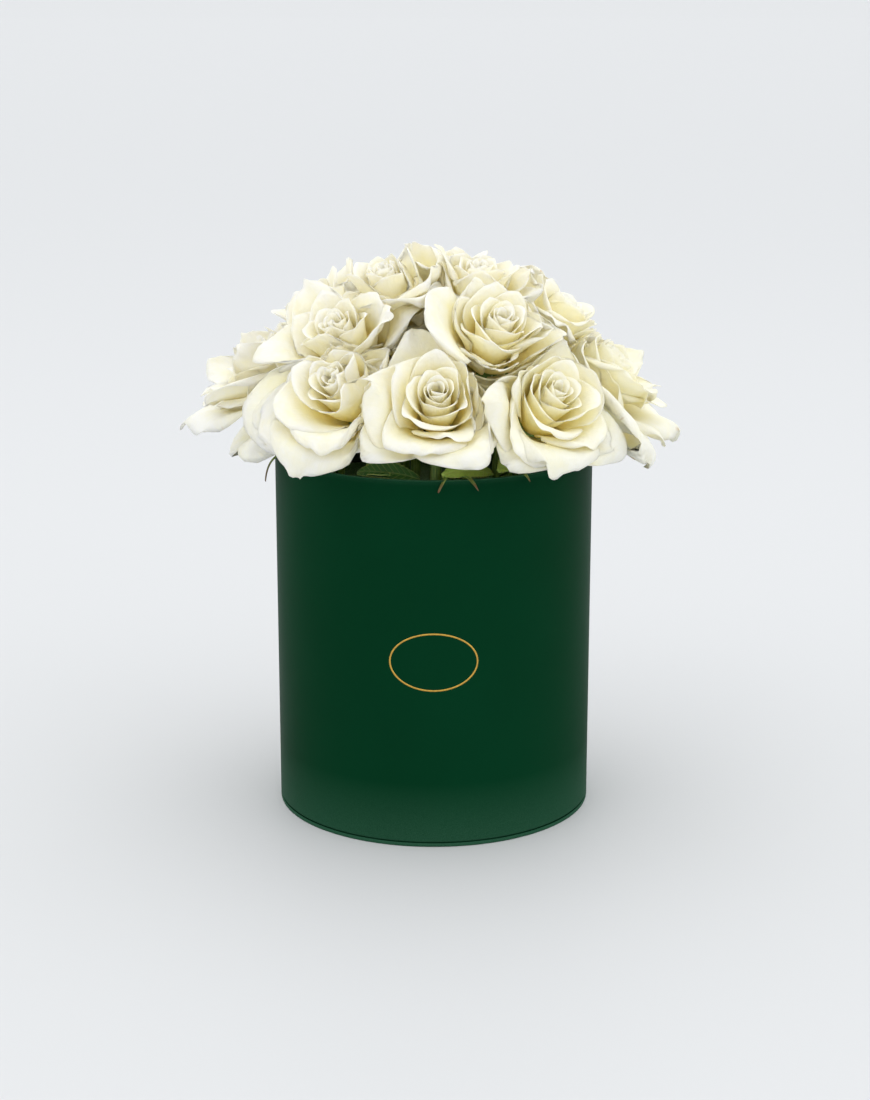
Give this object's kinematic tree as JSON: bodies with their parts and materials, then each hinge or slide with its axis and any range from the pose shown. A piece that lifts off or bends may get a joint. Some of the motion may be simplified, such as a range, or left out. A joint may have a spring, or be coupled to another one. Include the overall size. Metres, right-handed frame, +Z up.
{
  "type": "rose box",
  "caption": "Dome of white roses on stems in wet foam, standing in a tall round lidless card box with a film liner.",
  "frame": {"origin": "centre of the box's underside", "axes": "+Z up along the box's axis, the front towards -Y"},
  "size_m": [0.2756, 0.2543, 0.3224],
  "materials": {
    "box_card": "satin",
    "liner_film": "glossy",
    "wet_foam": "matte",
    "petal": "matte",
    "stem_green": "satin"
  },
  "bodies": {
    "root": {"box_wall": "box_card", "box_base": "box_card", "liner": "liner_film", "foam": "wet_foam", "bloom_01": "petal", "stem_01": "stem_green", "bloom_02": "petal", "stem_02": "stem_green", "bloom_03": "petal", "stem_03": "stem_green", "bloom_04": "petal", "stem_04": "stem_green", "bloom_05": "petal", "stem_05": "stem_green", "bloom_06": "petal", "stem_06": "stem_green", "bloom_07": "petal", "stem_07": "stem_green", "bloom_08": "petal", "stem_08": "stem_green", "bloom_09": "petal", "stem_09": "stem_green", "bloom_10": "petal", "stem_10": "stem_green", "bloom_11": "petal", "stem_11": "stem_green", "bloom_12": "petal", "stem_12": "stem_green", "bloom_13": "petal", "stem_13": "stem_green", "bloom_14": "petal", "stem_14": "stem_green", "bloom_15": "petal", "stem_15": "stem_green", "bloom_16": "petal", "stem_16": "stem_green", "bloom_17": "petal", "stem_17": "stem_green", "bloom_18": "petal", "stem_18": "stem_green"}
  },
  "joints": []
}
